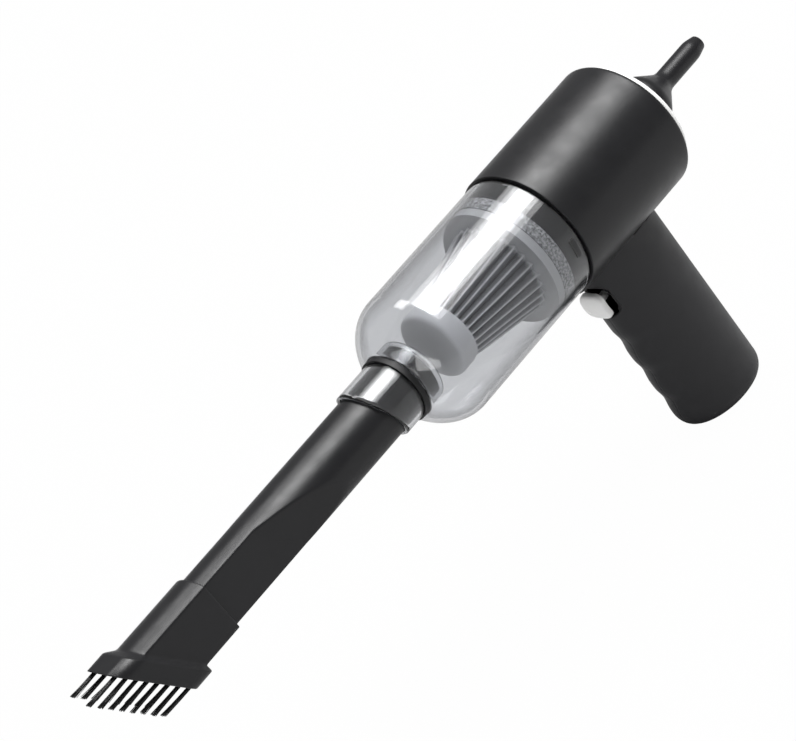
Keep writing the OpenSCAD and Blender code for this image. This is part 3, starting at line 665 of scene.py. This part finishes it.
# Outline of the nozzle's wall, eased and turned about the motor axis
def makeBlower(s):
    front, tip = blowerLow[1], blowerHigh[1]
    shoulder = front + s["plugLong"]
    base = shoulder + s["baseLong"]
    cone = base + s["coneLong"]
    inner = s["plugR"] - s["wall"]
    corners = [(s["plugR"], front), (s["plugR"], shoulder), (s["baseR"], shoulder), (s["baseR"], base),
               (s["stemR"], cone), (s["stemR"], cone + s["stemLong"]), (s["tipR"], tip), (s["bore"], tip),
               (s["bore"], cone), (inner, base - s["floor"]), (inner, front)]
    return revolve("blower_nozzle_turning", easeCorners(corners, s["cuts"]), s["around"])


finish(makeBlower(blowerSet), "blower", "black_plastic", satinAbs, "blower_nozzle")

# Filter: folded felt between a domed cap and the frame
filterSet = {
    "pleats": 28, "frontR": 15.0, "rearR": 22.2, "fold": 2.5, "felt": 0.8,
    "sink": 0.15,                        # the ridges lie this far under the cone
    "ridgeRound": 0.012, "ridgeDrop": 0.1,
    "pleatSteps": 12, "rows": 30,
    # depth, waves round the filter, and drift along it in radians per mm, of the felt's own unevenness
    "wander": ((0.072, 5, 0.13), (0.048, 11, -0.21)),
    "capLip": 0.6, "capRound": 2.2, "capRear": 0.4, "capPole": 0.01, "capAround": 128,
}


# Radius is the cone's, less the fold's depth times a rounded saw round the filter, plus the wander
def makePleats(s):
    low, high = boxOf("filter_pleats")
    across = turnOf(s["pleats"] * s["pleatSteps"])
    y = np.linspace(low[1], high[1], s["rows"])[:, None]
    cone = s["frontR"] + (s["rearR"] - s["frontR"]) * (y - low[1]) / (high[1] - low[1])
    saw = np.abs(across * s["pleats"] / tau % 1 * 2 - 1)
    ridge = np.sqrt(saw ** 2 + s["ridgeRound"]) - s["ridgeDrop"]
    wander = sum(depth * np.sin(across * waves + y * drift) for depth, waves, drift in s["wander"])
    outer = cone - s["fold"] * (1 - ridge) - s["sink"] + wander
    radius = np.concatenate([outer, outer[::-1] - s["felt"]])
    yAll = np.concatenate([y, y[::-1]])
    return skin("pleated_filter", ringsAbout(across, radius, yAll), wrap=True)


finish(makePleats(filterSet), "housing", "filter_paper", pleatFelt, "filter_pleats")


# Outline of the cap from its middle to its middle, rounded at the front edge and turned
def makeFilterCap(s):
    low, high = boxOf("filter_cap")
    r = s["frontR"] + s["capLip"]
    corners = [(0, low[1]), (r, low[1]), (r, high[1]), (0, high[1])]
    cuts = [s["capPole"], s["capRound"], s["capRear"], s["capPole"]]
    return revolve("filter_end_cap", easeCorners(corners, cuts), s["capAround"])


finish(makeFilterCap(filterSet), "housing", "pale_plastic", greyAbs, "filter_cap")

# Grip: two half shells round a raked oval, scooped for the fingers on the front
gripSet = {
    "topShare": 0.8, "triggerDrop": 19.3,     # the top's share of the housing's radius, the trigger below it
    "halfWide": 16.5, "halfLong": 23.5, "rake": 8.3, "wall": 2.4,
    "footRound": 7.0, "footPull": 0.6, "footLift": 0.6, "footSteps": 9, "holeInset": 6.9, "floorShare": 0.9,
    "grooves": 3, "grooveDrop": 29.3, "groovePitch": 18, "grooveHalf": 7.8, "grooveDeep": 1.1,
    "grooveShare": (0.15, 0.95),     # how squarely a place faces forward where a groove starts, and is full
    "scoop": 0.9, "scoopHalf": 10, "scoopShare": (0.45, 0.98),
    "seam": 0.06, "bodyGap": 0.05,
    "around": 97, "rows": 80, "wallRows": 20, "rowGap": 0.8,
}
gripTopZ = axisZ - bodyR * gripSet["topShare"]
triggerZ = gripTopZ - gripSet["triggerDrop"]


# Half oval at each height z, x = W cos a and y = L sin a less the rake. The inset pulls in the whole oval.
# On the outside each groove, cos^2 of the height, and the trigger's scoop pull in the front
def gripSurface(side, inset, z, angle, s, outside):
    front = np.clip(-np.sin(angle), 0, 1)
    pull = inset
    if outside:
        depth = 0
        for k in range(s["grooves"]):
            grooveZ = triggerZ - s["grooveDrop"] - s["groovePitch"] * k
            depth = depth + np.cos(np.clip((z - grooveZ) / s["grooveHalf"], -1, 1) * math.pi / 2) ** 2
        groove = s["grooveDeep"] * depth * smoothStep(*s["grooveShare"], front)
        hollow = np.exp(-((triggerZ - z) / s["scoopHalf"]) ** 4)
        pull = inset + groove + s["scoop"] * hollow * smoothStep(*s["scoopShare"], front)
    x = side * (s["halfWide"] - inset) * np.cos(angle)
    y = (s["halfLong"] - pull) * np.sin(angle) - z * math.tan(math.radians(s["rake"]))
    return np.maximum(np.abs(x), s["seam"]) * side, y


# The outer skin from the foot's hole up to the roof and the inner one down again. The foot's edge is a
# quarter ellipse, and the roof, z = axis - sqrt(R^2 - x^2), fits under the housing
def makeGripHalf(name, side, s):
    angle = np.linspace(-math.pi / 2, math.pi / 2, s["around"])[None, :]
    a = np.linspace(0, math.pi / 2, s["footSteps"])
    wall, lift = s["wall"], s["footLift"]
    footInset = s["footRound"] * s["footPull"] * (1 - np.sin(a))
    footZ = lift + s["footRound"] * (1 - np.cos(a))
    footTop = footZ[-1]
    outInset = np.concatenate([[s["holeInset"]], footInset, np.zeros(s["rows"])])
    outZ = np.concatenate([[lift], footZ, np.linspace(footTop + s["rowGap"], gripTopZ, s["rows"])])
    inInset = np.concatenate([[s["holeInset"]], footInset[::2] + wall, np.full(s["wallRows"], wall)])
    inZ = np.concatenate([[lift + wall], footZ[::2] * s["floorShare"] + wall,
                          np.linspace(footTop + wall, gripTopZ, s["wallRows"])])
    xOut, yOut = gripSurface(side, outInset[:, None], outZ[:, None], angle, s, True)
    xIn, yIn = gripSurface(side, inInset[::-1, None], inZ[::-1, None], angle, s, False)
    x = np.concatenate([xOut, xIn])
    y = np.concatenate([yOut, yIn])
    z = np.concatenate([outZ, inZ[::-1]])[:, None]
    roof = axisZ - np.sqrt((bodyR + s["bodyGap"]) ** 2 - x ** 2)
    return skin(name, np.stack([x, y, np.minimum(z, roof)], -1), wrap=True, openRound=True)


# Points of the grip's raked frame to the world: y runs forward and back, up runs along the grip, both from
# the place on the grip's middle line that lies at height z
def rakePoints(x, y, up, z):
    rake = math.radians(gripSet["rake"])
    worldY = y * math.cos(rake) - up * math.sin(rake) - z * math.tan(rake)
    worldZ = y * math.sin(rake) + up * math.cos(rake) + z
    return np.stack(np.broadcast_arrays(x, worldY, worldZ), -1)


gripCuts = {
    "triggerWide": 12.0, "triggerHigh": 13.0, "triggerGap": 0.3, "triggerCorner": 3.4, "windowFloor": -14.0,
    "pocketWide": 17.6, "pocketHigh": 17.0, "pocketFloor": -19.8, "pocketCorner": 7.5,
    "slotWide": 3.4, "slotHigh": 9.2, "slotCorner": 0.8, "slotFloor": 14.0,
    "past": 40.0,                                # cutters reach this far out, past the shell
    "screwR": 2.45, "screwFloor": -10.5, "screwPast": -20.0,
    "screws": ((-9.5, 13.5), (9.0, 13.5), (9.0, -4.0)),     # height over the trigger, and raked y, of each
    "around": 48, "screwAround": 40,
}


# Block with rounded corners that runs along the raked y at the trigger's height
def rakedBlock(name, wide, high, corner, near, far):
    angle = turnOf(gripCuts["around"])
    radius = roundedBox(angle, wide / 2, high / 2, corner)
    y = np.array([near, far])[:, None]
    return skin(name, rakePoints(radius * np.cos(angle), y, radius * np.sin(angle), triggerZ))


# Cylinder across the grip for one screw head
def screwSeat(up, y, c):
    angle = turnOf(c["screwAround"])
    x = np.array([c["screwPast"], c["screwFloor"]])[:, None]
    away, above = c["screwR"] * np.cos(angle), c["screwR"] * np.sin(angle)
    return skin("seat", rakePoints(x, y + away, above, triggerZ + up))


# The trigger's window and the pocket round it, the charging slot, and the screws' seats on one side
def cutGrip(half, side, c):
    room = 2 * c["triggerGap"]
    cutters = [rakedBlock("window", c["triggerWide"] + room, c["triggerHigh"] + room,
                          c["triggerCorner"] + c["triggerGap"], -c["past"], c["windowFloor"]),
               rakedBlock("slot", c["slotWide"], c["slotHigh"], c["slotCorner"], c["slotFloor"], c["past"]),
               rakedBlock("pocket", c["pocketWide"], c["pocketHigh"], c["pocketCorner"], -c["past"],
                          c["pocketFloor"])]
    if side < 0:
        cutters += [screwSeat(up, y, c) for up, y in c["screws"]]
    for cutter in cutters:
        carve(half, cutter)


for name, side, node in (("grip_shell_left", 1, "grip_left"), ("grip_shell_right", -1, "grip_right")):
    half = makeGripHalf(name, side, gripSet)
    cutGrip(half, side, gripCuts)
    finish(half, "housing", "black_plastic", matteAbs, node)

# Trigger: white button with a crowned face and soft corners, on a narrower neck
triggerSet = {
    "out": 3.6, "inside": 6.0, "button": 3.8, "neckIn": 4.8, "corner": 3.4, "cornerShare": 0.6, "ease": 1.0,
    "easeSteps": 7, "crown": 1.5, "crownAcross": 0.5, "crownFade": 7.0, "around": 96,
    "faceInset": (20.0, 4.5, 3.0, 2.0, 1.4),     # rings on the face, the first drawn in to its middle
    "sideDepth": 3.0,
    "backEase": ((-0.8, 0), (-0.3, 0.15), (0, 0.5)),     # depth from the button's back, and inset
    "neckEase": ((0.05, -0.2), (0.3, 0)),                # the same, from the neck's own inset
}


# Rounded boxes one behind the other, each drawn in by its inset. The face's crown falls back as the square
# of the height and of the width, and fades with the depth
def makeTrigger(s):
    c = gripCuts
    a = np.linspace(0, math.pi / 2, s["easeSteps"])
    back, neck = s["button"], s["neckIn"]
    rings = [(0, inset) for inset in s["faceInset"]]
    rings += zip(s["ease"] * (1 - np.cos(a)), s["ease"] * (1 - np.sin(a)))
    rings += [(s["sideDepth"], 0)] + [(back + more, inset) for more, inset in s["backEase"]]
    rings += [(back + more, neck + inset) for more, inset in s["neckEase"]]
    rings += [(s["out"] + s["inside"], neck)]
    depth, inset = np.array(rings).T[:, :, None]
    angle = turnOf(s["around"])
    halfX = np.maximum(c["triggerWide"] / 2 - inset, 0) + nearZero
    halfZ = np.maximum(c["triggerHigh"] / 2 - inset, 0) + nearZero
    radius = roundedBox(angle, halfX, halfZ, np.maximum(s["corner"] - inset * s["cornerShare"], 0))
    x = radius * np.cos(angle)
    up = radius * np.sin(angle)
    fade = 1 - smoothStep(0, s["crownFade"], depth)
    crown = s["crown"] * (2 * up / c["triggerHigh"]) ** 2
    crown = crown + s["crownAcross"] * (2 * x / c["triggerWide"]) ** 2
    y = -gripSet["halfLong"] - s["out"] + depth + crown * fade
    return skin("trigger_button", rakePoints(x, y, up, triggerZ))


finish(makeTrigger(triggerSet), "trigger", "white_plastic", whiteAbs, "trigger")

# Floor and light
stageSet = {"floorZ": -0.2, "floorSide": 8000.0, "floorHex": "#c4c4c4",
            "whiteShare": 0.985,     # how much of what the camera sees of the floor is white
            "worldLight": 0.28}


# 1 for what the camera sees, straight or through the clear cup, and 0 for light on the object
def seenByCamera(tree):
    path = addNode(tree, "ShaderNodeLightPath")
    seen = addNode(tree, "ShaderNodeMath", {"operation": "MAXIMUM"},
                   {0: path.outputs["Is Camera Ray"], 1: path.outputs["Is Transmission Ray"]})
    return seen.outputs["Value"]


# Pale paper that keeps a trace of the object's shadow and looks white to the camera
def makeFloor(s):
    half = s["floorSide"] / 2 * mm
    z = s["floorZ"] * mm
    corners = [(-half, -half, z), (half, -half, z), (half, half, z), (-half, half, z)]
    mesh = bpy.data.meshes.new("floor")
    mesh.from_pydata(corners, [], [(0, 1, 2, 3)])
    floor = bpy.data.objects.new("floor", mesh)
    bpy.context.scene.collection.objects.link(floor)
    material, tree = newMaterial("pale_paper")
    part = addNode(tree, "ShaderNodeMath", {"operation": "MULTIPLY"},
                   {0: seenByCamera(tree), 1: s["whiteShare"]})
    paper = addNode(tree, "ShaderNodeBsdfDiffuse", {}, {"Color": colour(s["floorHex"])})
    glow = addNode(tree, "ShaderNodeEmission", {}, {"Color": (1, 1, 1, 1), "Strength": 1.0})
    mix = addNode(tree, "ShaderNodeMixShader", {},
                  {0: part.outputs["Value"], 1: paper.outputs["BSDF"], 2: glow.outputs["Emission"]})
    addNode(tree, "ShaderNodeOutputMaterial", {}, {"Surface": mix.outputs["Shader"]})
    mesh.materials.append(material)


# White round the scene for the camera, and a plain low light from all sides for the object
def makeWorld(s):
    world = bpy.data.worlds.new("studio")
    bpy.context.scene.world = world
    world.use_nodes = True
    tree = world.node_tree
    tree.nodes.clear()
    level = addNode(tree, "ShaderNodeMapRange", {},
                    {"Value": seenByCamera(tree), "To Min": s["worldLight"], "To Max": 1.0})
    sky = addNode(tree, "ShaderNodeBackground", {},
                  {"Color": (1, 1, 1, 1), "Strength": level.outputs["Result"]})
    addNode(tree, "ShaderNodeOutputWorld", {}, {"Surface": sky.outputs["Background"]})


# Direction is (along the axis, down the picture, towards the camera), size in mm, power in watts
keyDirection = (0.711, -0.64, 0.284)
lampSet = {
    "key": {"direction": keyDirection, "distance": 2500, "size": (800, 1100), "power": 26.0},
    "keyMiddle": {"direction": keyDirection, "distance": 2520, "size": (820, 1700), "power": 26.0},
    "keyHalo": {"direction": keyDirection, "distance": 2540, "size": (840, 2500), "power": 24.0},
    "window": {"direction": (0.29, -0.955, 0.06), "distance": 1500, "size": (560, 400), "power": 5.0},
    "fill": {"direction": (-0.75, 0.25, 0.6), "distance": 1100, "size": (700, 700), "power": 6.0},
    "rim": {"direction": (0.25, 0.7, -0.62), "distance": 900, "size": (900, 240), "power": 3.0},
}
lampAimY = -110


# Soft box aimed at the object, its first side as near to the motor axis as the aim allows
def makeLamp(name, s):
    toward = Vector()
    for axis, share in zip(viewAxes, s["direction"]):
        toward += axis * share
    toward.normalize()
    data = bpy.data.lights.new(name, "AREA")
    data.shape = "RECTANGLE"
    data.size = s["size"][0] * mm
    data.size_y = s["size"][1] * mm
    data.energy = s["power"]
    lamp = bpy.data.objects.new(name, data)
    bpy.context.scene.collection.objects.link(lamp)
    axis = Vector((0, 1, 0))
    side = (axis - toward * axis.dot(toward)).normalized()
    turn = Matrix((side, toward.cross(side), toward)).transposed().to_4x4()
    place = Vector((0, lampAimY, axisZ)) * mm + toward * s["distance"] * mm
    lamp.matrix_world = Matrix.Translation(place) @ turn


makeFloor(stageSet)
makeWorld(stageSet)
for lampName, lamp in lampSet.items():
    makeLamp(lampName, lamp)
bpy.context.scene.view_settings.view_transform = "Standard"
print("stage and light set")
